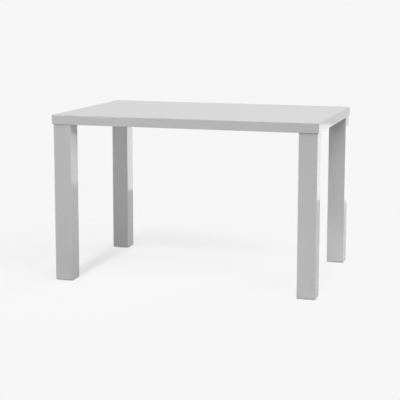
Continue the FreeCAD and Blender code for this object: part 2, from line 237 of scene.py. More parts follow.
handling, given, result = new_group(
    "Handling",
    {"Vector": (VECTOR, None), "Size": (FLOAT, 0.1), "Clean": (FLOAT, 0.1), "Marked": (FLOAT, 0.2)},
    {"Roughness": FLOAT},
)
smudges = noise(handling, given["Vector"], given["Size"], Detail=5.0, Distortion=0.6)
smudge = spread(handling, smudges, *SMUDGE_BAND)
drawn_out = {"Vector": given["Vector"], "Rotation": HAIR_TILT, "Scale": HAIR_DRAW}
rubbed = add_node(handling, "ShaderNodeMapping", drawn_out).outputs[0]
hairs = noise(handling, rubbed, given["Size"], Detail=6.0)
hair = spread(handling, hairs, *HAIR_BAND, 0.0, HAIR_SHARE)
marks = math_node(handling, "MAXIMUM", smudge, hair)
roughness = mix_values(handling, marks, given["Clean"], given["Marked"])
handling.links.new(roughness, result["Roughness"])
print("group", handling.name)

# %% [markdown]
# ## Where the lacquer is
#
# A lacquered board is only lacquered outside. Inside the slab, and on the mitres inside a leg, it
# is still bare. A second material on those faces would do it, but the board's mesh belongs to the
# CAD model and stays as it is. So a group finds the outside by measuring: it takes how far a point
# is from the faces of a box, and whatever lies on the box has film on it. The point is folded into
# one quarter of the table first, so that one box does for all four legs. Where a point is close to
# two faces at once it is on an arris, and there the group gives the mask for a painted highlight:
# a lighter grey laid along each rounded arris.

# %% Group: Film, which tells the lacquered outside from the bare inside
FILM_FROM, FILM_TO = -0.0012, -0.0008  # metres outwards from the box's face
# ARRIS_FROM and ARRIS_TO bound the band along each arris where the highlight is painted
ARRIS_FROM, ARRIS_TO = -0.004, -0.001  # the same, for the second face of an arris

film, given, result = new_group(
    "Film",
    {"Vector": (VECTOR, None), "Centre": (VECTOR, None), "Half Size": (VECTOR, None)},
    {"Outside": FLOAT, "Arris": FLOAT},
)
folded = vector_math(film, "ABSOLUTE", given["Vector"])[0]
centred = vector_math(film, "SUBTRACT", folded, given["Centre"])[0]
distance = vector_math(film, "ABSOLUTE", centred)[0]
depths = vector_math(film, "SUBTRACT", distance, given["Half Size"])[0]
along = add_node(film, "ShaderNodeSeparateXYZ", {0: depths}).outputs
higher = math_node(film, "MAXIMUM", along[0], along[1])
lower = math_node(film, "MINIMUM", along[0], along[1])
nearest = math_node(film, "MAXIMUM", higher, along[2])
second = math_node(film, "MAXIMUM", lower, math_node(film, "MINIMUM", higher, along[2]))
film.links.new(spread(film, nearest, FILM_FROM, FILM_TO), result["Outside"])
film.links.new(spread(film, second, ARRIS_FROM, ARRIS_TO), result["Arris"])
print("group", film.name)

# %% [markdown]
# ## The finishes
#
# A material starts with the Principled shader and Object coordinates. Numbers that are the same
# all over a surface are typed straight into the shader. What changes over the surface comes from
# the groups, and their heights meet in one Bump node.

# %% Helpers that start a material and place a group in it


def new_material(name, **plain):
    """A material with plain values on its shader; returns the material, tree, shader and coordinates."""
    material = bpy.data.materials.new(name)
    material.use_nodes = True
    tree = material.node_tree
    shader = tree.nodes["Principled BSDF"]
    for socket, value in plain.items():
        shader.inputs[socket.replace("_", " ")].default_value = value
    coordinates = add_node(tree, "ShaderNodeTexCoord").outputs["Object"]
    return material, tree, shader, coordinates


def place(tree, group, **inputs):
    """A group in a material, with the material's own values; returns its outputs."""
    node = tree.nodes.new("ShaderNodeGroup")
    node.node_tree = group
    for label, value in inputs.items():
        socket = node.inputs[label.replace("_", " ")]
        if isinstance(value, bpy.types.NodeSocket):
            tree.links.new(value, socket)
        else:
            socket.default_value = value
    return node.outputs


def finish_material(tree, shader, colour, roughness, height):
    """Feeds a shader its colour and roughness, and a bump made from a height in metres."""
    tree.links.new(colour, shader.inputs["Base Color"])
    tree.links.new(roughness, shader.inputs["Roughness"])
    bump = add_node(tree, "ShaderNodeBump", {"Height": height, "Distance": 1.0, "Strength": 1.0})
    tree.links.new(bump.outputs[0], shader.inputs["Normal"])


# %% [markdown]
# ### Grey gloss lacquer
#
# Sprayed polyester is a smooth clear-edged film with grey pigment in it. Up close it isn't a
# perfect mirror: the spray leaves an orange peel a few millimetres wide and a few micrometres
# deep, the tone drifts very slightly, and hands leave faint smudges. Under it is fibre board,
# which is what the hidden faces show. The top and the legs are boxes in different places, so the
# same recipe is made twice, once for each.

# %% The recipe for lacquered board
LACQUER_LIGHT = (0.440, 0.440, 0.442, 1.0)
LACQUER_DARK = (0.424, 0.424, 0.427, 1.0)
# a lighter grey, painted along the arrises as a highlight
ARRIS_HIGHLIGHT_GREY = (0.475, 0.475, 0.477, 1.0)
BOARD_LIGHT = (0.52, 0.37, 0.23, 1.0)
BOARD_DARK = (0.36, 0.235, 0.135, 1.0)
BOARD_ROUGHNESS = 0.75


def board_fibres(tree, where):
    """The fibres of bare board, with their colour and height."""
    colours = {"Light": BOARD_LIGHT, "Dark": BOARD_DARK}
    return place(tree, fibres, Vector=where, Stretch=(3.0, 2.0, 0.7), Size=0.0012, Depth=0.00006, **colours)


def lacquered_board(name, centre, half_size):
    """Lacquer on the faces that lie on a box, and bare fibre board on the others."""
    material, tree, shader, where = new_material(name, IOR=1.5)
    on_box = place(tree, film, Vector=where, Centre=centre, Half_Size=half_size)
    pigment = place(tree, mottle, Vector=where, Size=0.35, Light=LACQUER_LIGHT, Dark=LACQUER_DARK)
    # painted highlight: the arrises get the lighter grey
    arris_highlighted = mix_colours(tree, on_box["Arris"], pigment["Color"], ARRIS_HIGHLIGHT_GREY)
    board = board_fibres(tree, where)
    colour = mix_colours(tree, on_box["Outside"], board["Color"], arris_highlighted)
    gloss = place(tree, handling, Vector=where, Size=0.14, Clean=0.07, Marked=0.13)
    roughness = mix_values(tree, on_box["Outside"], BOARD_ROUGHNESS, gloss["Roughness"])
    peel = place(tree, relief, Vector=where, Size=0.007, Depth=0.000012)
    height = mix_values(tree, on_box["Outside"], board["Height"], peel["Height"])
    finish_material(tree, shader, colour, roughness, height)
    return material


# %% Lacquer for the top and for the legs
top_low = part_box("underside_skin")[0]
top_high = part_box("top_skin")[1]
top_centre = (top_low + top_high) / 2
leg_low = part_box("back_right_leg_left_board")[0]
leg_low.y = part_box("back_right_leg_front_board")[0].y
leg_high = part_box("back_right_leg_right_board")[1]
leg_high.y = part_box("back_right_leg_back_board")[1].y
leg_centre = (leg_low + leg_high) / 2
leg_half = (leg_high - leg_low) / 2
leg_half.z = 1.0  # the boards' ends stay bare
top_lacquer = lacquered_board("Grey lacquer on the top", top_centre, top_high - top_centre)
leg_lacquer = lacquered_board("Grey lacquer on the legs", leg_centre, leg_half)
for part, centre in (("the top", top_centre), ("a leg", leg_centre)):
    print("lacquer box of", part, "round", [round(v, 4) for v in centre])

# %% [markdown]
# ### Bare board, beech and paper
#
# The rails and blocks inside are the same fibre board without a film. The dowels are turned beech,
# with short darker flecks along the grain. The honeycomb is brown kraft paper.

# %% Bare fibre board
bare_board, tree, shader, where = new_material("Bare fibre board")
board = board_fibres(tree, where)
patches = place(tree, mottle, Vector=where, Size=0.06, Light=grey(1.0), Dark=grey(0.86))
board_colour = multiply_colours(tree, board["Color"], patches["Color"])
board_roughness = place(tree, handling, Vector=where, Size=0.05, Clean=0.72, Marked=0.85)
finish_material(tree, shader, board_colour, board_roughness["Roughness"], board["Height"])
print("material", bare_board.name)

# %% Beech
BEECH = {"Light": (0.62, 0.40, 0.22, 1.0), "Dark": (0.47, 0.27, 0.13, 1.0)}
RING_DARK = (0.84, 0.80, 0.76, 1.0)

beech, tree, shader, where = new_material("Beech")
grain = place(tree, fibres, Vector=where, Stretch=(9.0, 1.0, 1.0), Size=0.0009, Depth=0.00003, **BEECH)
year_rings = place(tree, mottle, Vector=where, Size=0.012, Light=grey(1.0), Dark=RING_DARK)
wood = multiply_colours(tree, grain["Color"], year_rings["Color"])
wood_roughness = place(tree, handling, Vector=where, Size=0.03, Clean=0.5, Marked=0.62)
finish_material(tree, shader, wood, wood_roughness["Roughness"], grain["Height"])
print("material", beech.name)

# %% Kraft paper
KRAFT = {"Light": (0.44, 0.29, 0.165, 1.0), "Dark": (0.31, 0.19, 0.10, 1.0)}

kraft_paper, tree, shader, where = new_material("Kraft paper")
pulp = place(tree, fibres, Vector=where, Stretch=(1.0, 1.0, 4.0), Size=0.0016, Depth=0.00004, **KRAFT)
cockle = place(tree, relief, Vector=where, Size=0.03, Depth=0.0004)
paper_height = math_node(tree, "ADD", pulp["Height"], cockle["Height"])
paper_roughness = place(tree, handling, Vector=where, Size=0.05, Clean=0.8, Marked=0.9)
finish_material(tree, shader, pulp["Color"], paper_roughness["Roughness"], paper_height)
print("material", kraft_paper.name)

# %% [markdown]
# ### Powder coat, zinc and moulded plastic
#
# The leg plates are sheet steel with a black powder coat, which dries with a fine pebbled skin.
# Bolts, washers and screws are bright zinc, a metal with a faint blue and straw tint that drifts
# over it. The glides are black plastic from a spark-eroded mould, matt and finely grained.

# %% Black powder coat
COAT = {"Light": (0.030, 0.030, 0.032, 1.0), "Dark": (0.020, 0.020, 0.021, 1.0)}

black_steel, tree, shader, where = new_material("Black powder coat")
coat = place(tree, mottle, Vector=where, Size=0.03, **COAT)
coat_roughness = place(tree, handling, Vector=where, Size=0.03, Clean=0.42, Marked=0.6)
pebble = place(tree, relief, Vector=where, Size=0.0009, Depth=0.00006)
finish_material(tree, shader, coat["Color"], coat_roughness["Roughness"], pebble["Height"])
print("material", black_steel.name)

# %% Bright zinc
ZINC = {"Light": (0.66, 0.67, 0.70, 1.0), "Dark": (0.60, 0.59, 0.53, 1.0)}

zinc_steel, tree, shader, where = new_material("Bright zinc", Metallic=1.0)
tint = place(tree, mottle, Vector=where, Size=0.006, **ZINC)
zinc_roughness = place(tree, handling, Vector=where, Size=0.008, Clean=0.24, Marked=0.42)
plating = place(tree, relief, Vector=where, Size=0.0006, Depth=0.000012)
finish_material(tree, shader, tint["Color"], zinc_roughness["Roughness"], plating["Height"])
print("material", zinc_steel.name)

# %% Black moulded plastic
PLASTIC = {"Light": (0.032, 0.032, 0.033, 1.0), "Dark": (0.022, 0.022, 0.023, 1.0)}

black_plastic, tree, shader, where = new_material("Black moulded plastic")
moulding = place(tree, mottle, Vector=where, Size=0.01, **PLASTIC)
plastic_roughness = place(tree, handling, Vector=where, Size=0.015, Clean=0.45, Marked=0.62)
spark_grain = place(tree, relief, Vector=where, Size=0.0005, Depth=0.00003)
finish_material(tree, shader, moulding["Color"], plastic_roughness["Roughness"], spark_grain["Height"])
print("material", black_plastic.name)

# %% [markdown]
# ## Dress the CAD nodes
#
# Every CAD node came in with one material slot, named after the finish in its record. Swapping
# what is in the slot keeps the mesh untouched.

# %% Give each CAD node its finish
FINISHES = {
    "bare_board": bare_board,
    "beech": beech,
    "kraft_paper": kraft_paper,
    "black_steel": black_steel,
    "zinc_steel": zinc_steel,
    "black_plastic": black_plastic,
}
dressed = {}
for subpart in frame["record"]["subparts"]:
    name = subpart["node"]
    slot = subpart["material_slot"]
    finish = FINISHES.get(slot) or (leg_lacquer if "_leg_" in name else top_lacquer)
    for material_slot in cad_nodes[name].material_slots:
        material_slot.material = finish
    dressed[slot] = dressed.get(slot, 0) + 1
print("dressed", dressed)

# %% [markdown]
# ## How the hardware is modelled
#
# Bolts, screws and inserts are all turned forms with a thread. Rings of vertices that grow out of
# one another make the turned part: each new ring is extruded from the last and then set on its own
# outline, which may be a circle, a hexagon for the key, a cross for the driver, or a knurl. The
# thread is one ridge profile that is spun round the axis and rises as it goes, which gives a true
# helix with few faces. All of this is done in millimetres, upright on the Z axis, and is only set
# down in its place and brought to metres at the end.

# %% Outlines: a radius for every direction
CROSS_CORE = 1.9  # the widest that the core between the arms gets, in half widths of an arm


def circle(radius):
    """A round outline."""
    return lambda angle: radius


def hexagon(across_flats):
    """The outline of a hexagon key."""
    return lambda angle: across_flats / 2 / math.cos((angle % math.radians(60)) - math.radians(30))


def knurl(radius, depth, teeth):
    """A round outline with fine teeth, as on the head of a socket bolt."""
    return lambda angle: radius - depth * (0.5 + 0.5 * math.cos(teeth * angle))


def cross(arm, width):
    """The outline of a cross recess: four arms with rounded inner corners."""
    half = width / 2

    def radius(angle):
        off_axis = abs((angle + math.radians(45)) % math.radians(90) - math.radians(45))
        if off_axis < math.atan2(half, arm):
            return arm / math.cos(off_axis)
        return min(half / math.sin(off_axis), half * CROSS_CORE)

    return radius


# %% Rings that grow out of one another


def first_ring(outline, height, segments):
    """A bmesh that holds one ring; returns it and the ring's edges."""
    bm = bmesh.new()
    bmesh.ops.create_circle(bm, segments=segments, radius=1.0)
    set_ring(bm.verts, outline, height)
    return bm, list(bm.edges)


def set_ring(verts, outline, height):
    """Puts the vertices of a ring on an outline, each in its own direction."""
    for vert in verts:
        angle = math.atan2(vert.co.y, vert.co.x)
        radius = outline(angle)
        vert.co = (radius * math.cos(angle), radius * math.sin(angle), height)


def next_ring(bm, edges, outline, height):
    """Extrudes a ring and sets the new one on its outline; returns the new ring's edges."""
    grown = bmesh.ops.extrude_edge_only(bm, edges=edges)["geom"]
    verts = {item for item in grown if isinstance(item, bmesh.types.BMVert)}
    set_ring(verts, outline, height)
    return [item for item in grown if isinstance(item, bmesh.types.BMEdge) and set(item.verts) <= verts]


def rings(steps, segments):
    """A wall of rings from (outline, height) pairs, open at both its ends."""
    bm, edges = first_ring(*steps[0], segments)
    for outline, height in steps[1:]:
        edges = next_ring(bm, edges, outline, height)
    return bm


# %% Threads
RIDGE_FROM, RIDGE_TO = 0.42, 0.58  # the flat crest of a ridge, as shares of the pitch
WELD = 0.001  # points closer than this are one


def thread(root, crest, pitch, low, high, steps=20):
    """The skin of a thread between two heights, cut off flat and open at both its ends."""
    bm = bmesh.new()
    start = (math.floor(low / pitch) - 1) * pitch
    turns = math.ceil((high - start) / pitch) + 1
    profile = [(root, 0.0), (crest, RIDGE_FROM), (crest, RIDGE_TO), (root, 1.0)]
    verts = [bm.verts.new((radius, 0, start + share * pitch)) for radius, share in profile]
    edges = [bm.edges.new(pair) for pair in zip(verts, verts[1:])]
    bmesh.ops.spin(
        bm,
        geom=verts + edges,
        axis=(0, 0, 1),
        angle=math.tau * turns,
        steps=steps * turns,
        dvec=(0, 0, pitch / steps),
    )
    bmesh.ops.remove_doubles(bm, verts=bm.verts, dist=WELD)
    for height, side in ((low, -1), (high, 1)):
        everything = bm.verts[:] + bm.edges[:] + bm.faces[:]
        plane = {"plane_co": (0, 0, height), "plane_no": (0, 0, side)}
        bmesh.ops.bisect_plane(bm, geom=everything, clear_outer=True, **plane)
    return bm


# %% Joins between open forms
SAME_LEVEL = 0.002  # heights closer than this are one
TIP_CURVE = 0.75  # below one, a tip is round-shouldered


def rim(bm, height):
    """The open edges at a height."""
    open_edges = [edge for edge in bm.edges if edge.is_boundary]
    return [edge for edge in open_edges if all(abs(v.co.z - height) < SAME_LEVEL for v in edge.verts)]


def together(*forms):
    """One bmesh from several."""
    whole = bmesh.new()
    for form in forms:
        mesh = bpy.data.meshes.new("part of a form")
        form.to_mesh(mesh)
        whole.from_mesh(mesh)
        bpy.data.meshes.remove(mesh)
    return whole


def join_rims(bm, height):
    """Joins the two open rims at a height with a flat collar."""
    bmesh.ops.bridge_loops(bm, edges=rim(bm, height))


def close_rim(bm, height):
    """Fills the open rim at a height."""
    bmesh.ops.holes_fill(bm, edges=rim(bm, height), sides=0)


def point_the_tip(bm, tip, length, blunt):
    """Draws the last stretch of a screw in to a blunt point at the height of its tip."""
    for vert in bm.verts:
        left = (vert.co.z - tip) / length
        if left < 1:
            vert.co.xy *= blunt + (1 - blunt) * max(left, 0) ** TIP_CURVE


# %% Set copies down
TURN = 2.4  # radians from each copy to the next, so that no two stand alike


def at_each_leg(pattern, level):
    """Places from a pattern that is written towards the table's middle."""
    places = []
    for corner, (side_x, side_y) in CORNERS.items():
        axis_x, axis_y = leg_axes[corner]
        places += [(axis_x - side_x * dx, axis_y - side_y * dy, level) for dx, dy in pattern]
    return places


def set_down(template, places, upside_down=False, turn=TURN):
    """One bmesh with the form at every (x, y, z), each copy turned further than the one before."""
    bmesh.ops.recalc_face_normals(template, faces=template.faces)
    pattern = bpy.data.meshes.new("pattern")
    template.to_mesh(pattern)
    whole = bmesh.new()
    for count, place_at in enumerate(places):
        copy = pattern.copy()
        flip = Matrix.Rotation(math.pi if upside_down else 0, 4, "X")
        copy.transform(Matrix.Translation(place_at) @ flip @ Matrix.Rotation(count * turn, 4, "Z"))
        whole.from_mesh(copy)
        bpy.data.meshes.remove(copy)
    bpy.data.meshes.remove(pattern)
    return whole


# %% Make one object
SHARP_ANGLE = math.radians(32)
MILLIMETRE = 0.001  # in metres


def edge_uses(mesh):
    """How many faces use each edge; a closed form has two at every one."""
    uses = {}
    for polygon in mesh.polygons:
        for key in polygon.edge_keys:
            uses[key] = uses.get(key, 0) + 1
    return uses.values()


def make_piece(name, bm, slot, node):
    """Makes an object from a bmesh in millimetres, and hides the CAD node that it takes the place of."""
    bmesh.ops.scale(bm, verts=bm.verts, vec=(MILLIMETRE, MILLIMETRE, MILLIMETRE))
    mesh = bpy.data.meshes.new(name)
    bm.to_mesh(mesh)
    bm.free()
    mesh.shade_smooth()
    mesh.set_sharp_from_angle(angle=SHARP_ANGLE)
    mesh.materials.append(FINISHES[slot])
    piece = bpy.data.objects.new(name, mesh)
    bpy.context.scene.collection.objects.link(piece)
    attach(piece, "root")
    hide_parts(node)
    open_edges = sum(1 for count in edge_uses(mesh) if count != 2)
    print(name, len(mesh.polygons), "faces,", open_edges, "open edges")


# %% [markdown]
# ## Socket bolts
#
# Each leg is held by three M6 socket bolts with low heads, which hang down from the plate's flange
# and screw up into the top. The head is one run of rings: from the bottom of the key's socket, out
# over the face, up the knurled side and in under the head. The thread starts there and ends in a
# chamfered tip.

# %% The head of a leg bolt
BOLT_LENGTH, BOLT_RADIUS = 20.0, 3.0
HEAD_RADIUS, KEY, SOCKET_DEPTH, DRILL_POINT = 5.0, 4.0, 2.3, 0.9
KNURL_DEPTH, KNURL_TEETH = 0.16, 36
FINE_RING, PLAIN_RING = 72, 48  # sides of a turned form

bolts_low, bolts_high = (millimetres(corner.z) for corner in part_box("leg_bolts"))
bolt_seat = bolts_high - BOLT_LENGTH
head_height = bolt_seat - bolts_low
drilled_to = DRILL_POINT - head_height + SOCKET_DEPTH
knurled = knurl(HEAD_RADIUS, KNURL_DEPTH, KNURL_TEETH)
bolt_head = rings(
    [
        (circle(0.01), drilled_to),
        (circle(KEY / 2 - 0.2), SOCKET_DEPTH - head_height),
        (hexagon(KEY), SOCKET_DEPTH - head_height),
        (hexagon(KEY), 0.25 - head_height),
        (circle(KEY / 2 + 0.55), -head_height),
        (circle(HEAD_RADIUS - 0.7), -head_height),
        (circle(HEAD_RADIUS - 0.2), 0.35 - head_height),
        (knurled, 0.8 - head_height),
        (knurled, -0.6),
        (circle(HEAD_RADIUS - 0.2), -0.3),
        (circle(HEAD_RADIUS - 0.45), 0.0),
        (circle(BOLT_RADIUS), 0.0),
    ],
    segments=FINE_RING,
)
print("bolt seat at", round(bolt_seat, 1), "mm, head", round(head_height, 1), "mm high")

# %% Leg bolts
BOLT_ROOT, BOLT_PITCH, BOLT_TIP_LENGTH, BOLT_TIP_RADIUS = 2.46, 1.0, 0.8, 2.3
CREST_GAP = 0.02  # keeps a thread inside its nominal size

bolt_thread = thread(BOLT_ROOT, BOLT_RADIUS - CREST_GAP, BOLT_PITCH, 0.0, BOLT_LENGTH)
for vert in bolt_thread.verts:
    left = BOLT_LENGTH - vert.co.z
    if left < BOLT_TIP_LENGTH:
        widest = BOLT_TIP_RADIUS + (BOLT_RADIUS - BOLT_TIP_RADIUS) * left / BOLT_TIP_LENGTH
        vert.co.xy *= min(1.0, widest / vert.co.xy.length)
bolt = together(bolt_head, bolt_thread)
join_rims(bolt, 0.0)
close_rim(bolt, BOLT_LENGTH)
close_rim(bolt, drilled_to)
bolts_at = at_each_leg(BOLT_PATTERN, bolt_seat)
make_piece("socket_bolts", set_down(bolt, bolts_at), "zinc_steel", "leg_bolts")

# %% [markdown]
# ## Washers
#
# A flat washer is stamped, so one face has soft corners. Between it and the head of the bolt sits a
# spring washer, a bar that is wound round and cut off at a slant: the bar's end face is spun almost
# a full turn, and its upper edge starts a little further round than its lower one.

# %% Flat washers
WASHER_RADIUS, WASHER_HOLE, WASHER_THICKNESS = 9.0, 3.3, 1.6


def full_turn(outline, segments):
    """A ring-shaped form turned from a closed outline of (radius, height) points."""
    bm = bmesh.new()
    verts = [bm.verts.new((radius, 0, height)) for radius, height in outline]
    edges = [bm.edges.new(pair) for pair in zip(verts, verts[1:] + verts[:1])]
    bmesh.ops.spin(bm, geom=verts + edges, axis=(0, 0, 1), angle=math.tau, steps=segments, use_merge=True)
    return bm


washer = full_turn(
    [
        (WASHER_HOLE, 0.15),
        (WASHER_HOLE + 0.15, 0.0),
        (WASHER_RADIUS - 0.35, 0.0),
        (WASHER_RADIUS - 0.1, 0.1),
        (WASHER_RADIUS, 0.35),
        (WASHER_RADIUS, WASHER_THICKNESS - 0.05),
        (WASHER_RADIUS - 0.05, WASHER_THICKNESS),
        (WASHER_HOLE + 0.05, WASHER_THICKNESS),
        (WASHER_HOLE, WASHER_THICKNESS - 0.1),
    ],
    segments=PLAIN_RING,
)
washers_at = at_each_leg(BOLT_PATTERN, plate_bottom - WASHER_THICKNESS)
make_piece("pressed_washers", set_down(washer, washers_at), "zinc_steel", "flat_washers")

# %% Spring washers
SPRING_RADIUS, SPRING_THICKNESS, BAR_CHAMFER = 5.4, 1.6, 0.15
SLIT_ANGLE, SLANT = math.radians(14), math.radians(9)

spring = bmesh.new()
bar_end = []
bar_section = [
    (WASHER_HOLE, 0.0),
    (SPRING_RADIUS, 0.0),
    (SPRING_RADIUS, SPRING_THICKNESS),
    (WASHER_HOLE, SPRING_THICKNESS),
]
for radius, height in bar_section:
    angle = SLIT_ANGLE / 2 + SLANT * (height / SPRING_THICKNESS - 0.5)
    bar_end.append(spring.verts.new((radius * math.cos(angle), radius * math.sin(angle), height)))
bar = spring.faces.new(bar_end)
bmesh.ops.bevel(
    spring,
    geom=list(bar.verts),
    affect="VERTICES",
    offset=BAR_CHAMFER,
    segments=1,
    profile=0.5,
    material=-1,
)
bmesh.ops.spin(
    spring,
    geom=spring.verts[:] + spring.edges[:] + spring.faces[:],
    axis=(0, 0, 1),
    angle=math.tau - SLIT_ANGLE,
    steps=PLAIN_RING - 2,  # the slit takes the place of two
)
make_piece("split_washers", set_down(spring, bolts_at), "zinc_steel", "spring_washers")

# %% [markdown]
# ## Threaded inserts
#
# The inserts that the bolts go into are sleeves with a coarse thread outside, which cuts into the
# board, and the bolt's own thread inside. Two thread skins do it, one inside the other, joined by
# flat collars. Both threads are counted from the bolt's seat, and a bolt and its insert are turned
# alike as they are set down, so the bolt's ridge runs in the insert's groove.

# %% Threaded inserts
INSERT_RADIUS, INSERT_ROOT, INSERT_LENGTH, INSERT_PITCH = 5.0, 4.15, 15.0, 2.5
ROOT_PLAY, CREST_PLAY = 0.06, 0.04  # how much wider than the bolt the inner thread is

insert_low = underside - bolt_seat
insert_high = insert_low + INSERT_LENGTH
insert = together(
    thread(INSERT_ROOT, INSERT_RADIUS - CREST_GAP, INSERT_PITCH, insert_low, insert_high),
    thread(BOLT_ROOT + ROOT_PLAY, BOLT_RADIUS + CREST_PLAY, BOLT_PITCH, insert_low, insert_high),
)
join_rims(insert, insert_low)
join_rims(insert, insert_high)
make_piece("board_inserts", set_down(insert, bolts_at), "zinc_steel", "threaded_inserts")

# %% [markdown]
# ## Countersunk screws
#
# Wood screws hold the plates on the leg heads and the glides under the feet. Both are the same
# form in two sizes: a cross recess that narrows as it goes in, a cone under the face, a plain
# neck, and a coarse thread that is drawn in to a point.

# %% The form of a wood screw


def wood_screw(head_radius, head_height, radius, length, pitch, point):
    """A countersunk wood screw that points down from height 0."""
    arm = head_radius * 0.55
    neck = -head_height - length * 0.12
    recess = -min(head_height * 1.1, head_radius * 0.7)
    head = rings(
        [
            (circle(0.02), recess),
            (cross(arm * 0.35, arm * 0.18), recess * 0.85),
            (cross(arm, arm * 0.42), 0.0),
            (circle(head_radius * 0.97), 0.0),
            (circle(head_radius), -head_height * 0.06),
            (circle(radius * 0.93), -head_height),
            (circle(radius * 0.85), neck),
        ],
        segments=PLAIN_RING,
    )
    shank = thread(radius * 0.66, radius * 0.99, pitch, -length, neck, steps=16)
    point_the_tip(shank, -length, point, blunt=0.08)
    screw = together(head, shank)
    join_rims(screw, neck)
    close_rim(screw, -length)
    close_rim(screw, recess)
    return screw


# %% Plate screws and glide screws
plate_screw = wood_screw(head_radius=4.4, head_height=2.5, radius=2.25, length=35.0, pitch=2.0, point=6.0)
plate_screws_at = at_each_leg(PLATE_SCREW_PATTERN, underside)
make_piece("plate_wood_screws", set_down(plate_screw, plate_screws_at), "zinc_steel", "plate_screws")

glide_screw = wood_screw(head_radius=3.6, head_height=1.8, radius=1.75, length=20.0, pitch=1.5, point=4.5)
glide_screws_at = at_each_leg([(0, 0)], millimetres(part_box("glide_screws")[0].z))
glide_screws_set = set_down(glide_screw, glide_screws_at, upside_down=True)
make_piece("glide_wood_screws", glide_screws_set, "zinc_steel", "glide_screws")

# %% [markdown]
# ## Glides
#
# A glide is a moulded disc with a countersink for its screw. Underneath it has a soft rim, so that
# it slides over a carpet, and a shallow moulded groove. It is a closed outline spun once.

# %% Glides
GLIDE_RADIUS, GLIDE_THICKNESS = 27.0, 3.0
GLIDE_HOLE, COUNTERSINK = 1.85, 3.65
GROOVE_INNER, GROOVE_OUTER, GROOVE_DEPTH, GROOVE_SLOPE = 13.0, 16.0, 0.5, 0.4

glide = full_turn(
    [
        (COUNTERSINK, 0.15),
        (COUNTERSINK + 0.25, 0.0),
        (GROOVE_INNER, 0.0),
        (GROOVE_INNER + GROOVE_SLOPE, GROOVE_DEPTH),
        (GROOVE_OUTER - GROOVE_SLOPE, GROOVE_DEPTH),
        (GROOVE_OUTER, 0.0),
        (GLIDE_RADIUS - 1.0, 0.0),
        (GLIDE_RADIUS - 0.45, 0.15),
        (GLIDE_RADIUS - 0.1, 0.55),
        (GLIDE_RADIUS, 1.0),
        (GLIDE_RADIUS, GLIDE_THICKNESS),
        (GLIDE_HOLE, GLIDE_THICKNESS),
        (GLIDE_HOLE, GLIDE_THICKNESS - 0.5),
        (COUNTERSINK, 0.7),
    ],
    segments=FINE_RING,
)
for corner in CORNERS:
    glide_set = set_down(glide, [(*leg_axes[corner], 0.0)])
    make_piece(f"{corner}_moulded_glide", glide_set, "black_plastic", f"{corner}_leg_glide")

# %% [markdown]
# ## Fluted dowels
#
# The frame's butt joints are dowelled. A shop-made dowel is fluted so that trapped glue can
# escape: a fine-toothed outline, carried from end to end, with both ends chamfered.

# %% Dowels
DOWEL_RADIUS, DOWEL_LENGTH, DOWEL_CHAMFER, DOWEL_SPACING = 4.0, 40.0, 1.0, 18.0
FLUTE_DEPTH, FLUTES = 0.45, 18

fluted = knurl(DOWEL_RADIUS, FLUTE_DEPTH, FLUTES)
end_face, end_middle = circle(DOWEL_RADIUS - DOWEL_CHAMFER), circle(0.05)
half = DOWEL_LENGTH / 2
dowel = rings(
    [
        (end_middle, -half),
        (end_face, -half),
        (fluted, DOWEL_CHAMFER - half),
        (fluted, half - DOWEL_CHAMFER),
        (end_face, half),
        (end_middle, half),
    ],
    segments=FINE_RING,
)
close_rim(dowel, half)
close_rim(dowel, -half)
bmesh.ops.rotate(dowel, verts=dowel.verts, matrix=Matrix.Rotation(math.radians(90), 3, "X"))
frame_end = millimetres(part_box("left_cross_rail")[1].y)
dowel_level = millimetres(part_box("left_edge_rail")[0].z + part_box("left_edge_rail")[1].z) / 2
dowels_at = []
for rail in ("left_edge_rail", "left_cross_rail", "right_cross_rail", "right_edge_rail"):
    low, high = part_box(rail)
    middle = millimetres(low.x + high.x) / 2
    for side in (-1, 1):
        for offset in (-DOWEL_SPACING / 2, DOWEL_SPACING / 2):
            dowels_at.append((middle + offset, side * frame_end, dowel_level))
make_piece("fluted_dowels", set_down(dowel, dowels_at, turn=0), "beech", "frame_dowels")

# %% [markdown]
# ## The studio
#
# A gloss object shows its surroundings as much as its own colour, so the studio is part of the
# finish. Camera rays and mirror rays meet a pale world, while a dimmer one gives the soft light
# from all round. The floor is one large disc of paper that does the same: what is seen of it is
# mostly an even pale glow, over which the paper scatters enough light to show the table's shadow,
# and what only passes light on to the table is a plain paper. The shadow is kept round the left
# pair of legs: outwards from there the glow takes over, and further out the floor lets the world
# through, so that no horizon shows. In the last few millimetres before a foot a contact shade is
# painted into the glow, from an occlusion mask. From below the floor can be seen through.

# %% World
PALE = grey(0.922)
AMBIENT = 0.52


def seen_rays(tree):
    """One for the rays by which a surface is seen, in the camera or in a mirror; nought for the rest."""
    path = add_node(tree, "ShaderNodeLightPath").outputs
    direct = math_node(tree, "MAXIMUM", path["Is Camera Ray"], path["Is Glossy Ray"])
    return math_node(tree, "MAXIMUM", direct, path["Is Transmission Ray"])


world = bpy.data.worlds.new("Pale studio")
bpy.context.scene.world = world
world.use_nodes = True
tree = world.node_tree
tree.nodes.clear()
soft_light = add_node(tree, "ShaderNodeBackground", {"Color": grey(1.0), "Strength": AMBIENT})
backdrop = add_node(tree, "ShaderNodeBackground", {"Color": PALE, "Strength": 1.0})
either = mix_shaders(tree, seen_rays(tree), soft_light, backdrop)
add_node(tree, "ShaderNodeOutputWorld", {"Surface": either.outputs[0]})
print("world", world.name)

# %% Floor paper
SHADE_CENTRE = (-0.5, -0.2, 0.0)
PAPER_FROM, PAPER_TO = 0.2, 1.2  # where the glow takes over from the shadow, from that centre
FADE_FROM, FADE_TO = 8.0, 13.0  # where the paper lets the world through
SCATTER = 0.12  # of the paper that is seen
BOUNCE = 0.35  # of the paper that passes light on
NEAR_GLOW = 0.684  # beside the far paper's 1, because the near paper scatters light as well
# how far from a foot the painted contact shade reaches
CONTACT_SHADE_REACH = 0.005  # how far from a foot the paper is dark

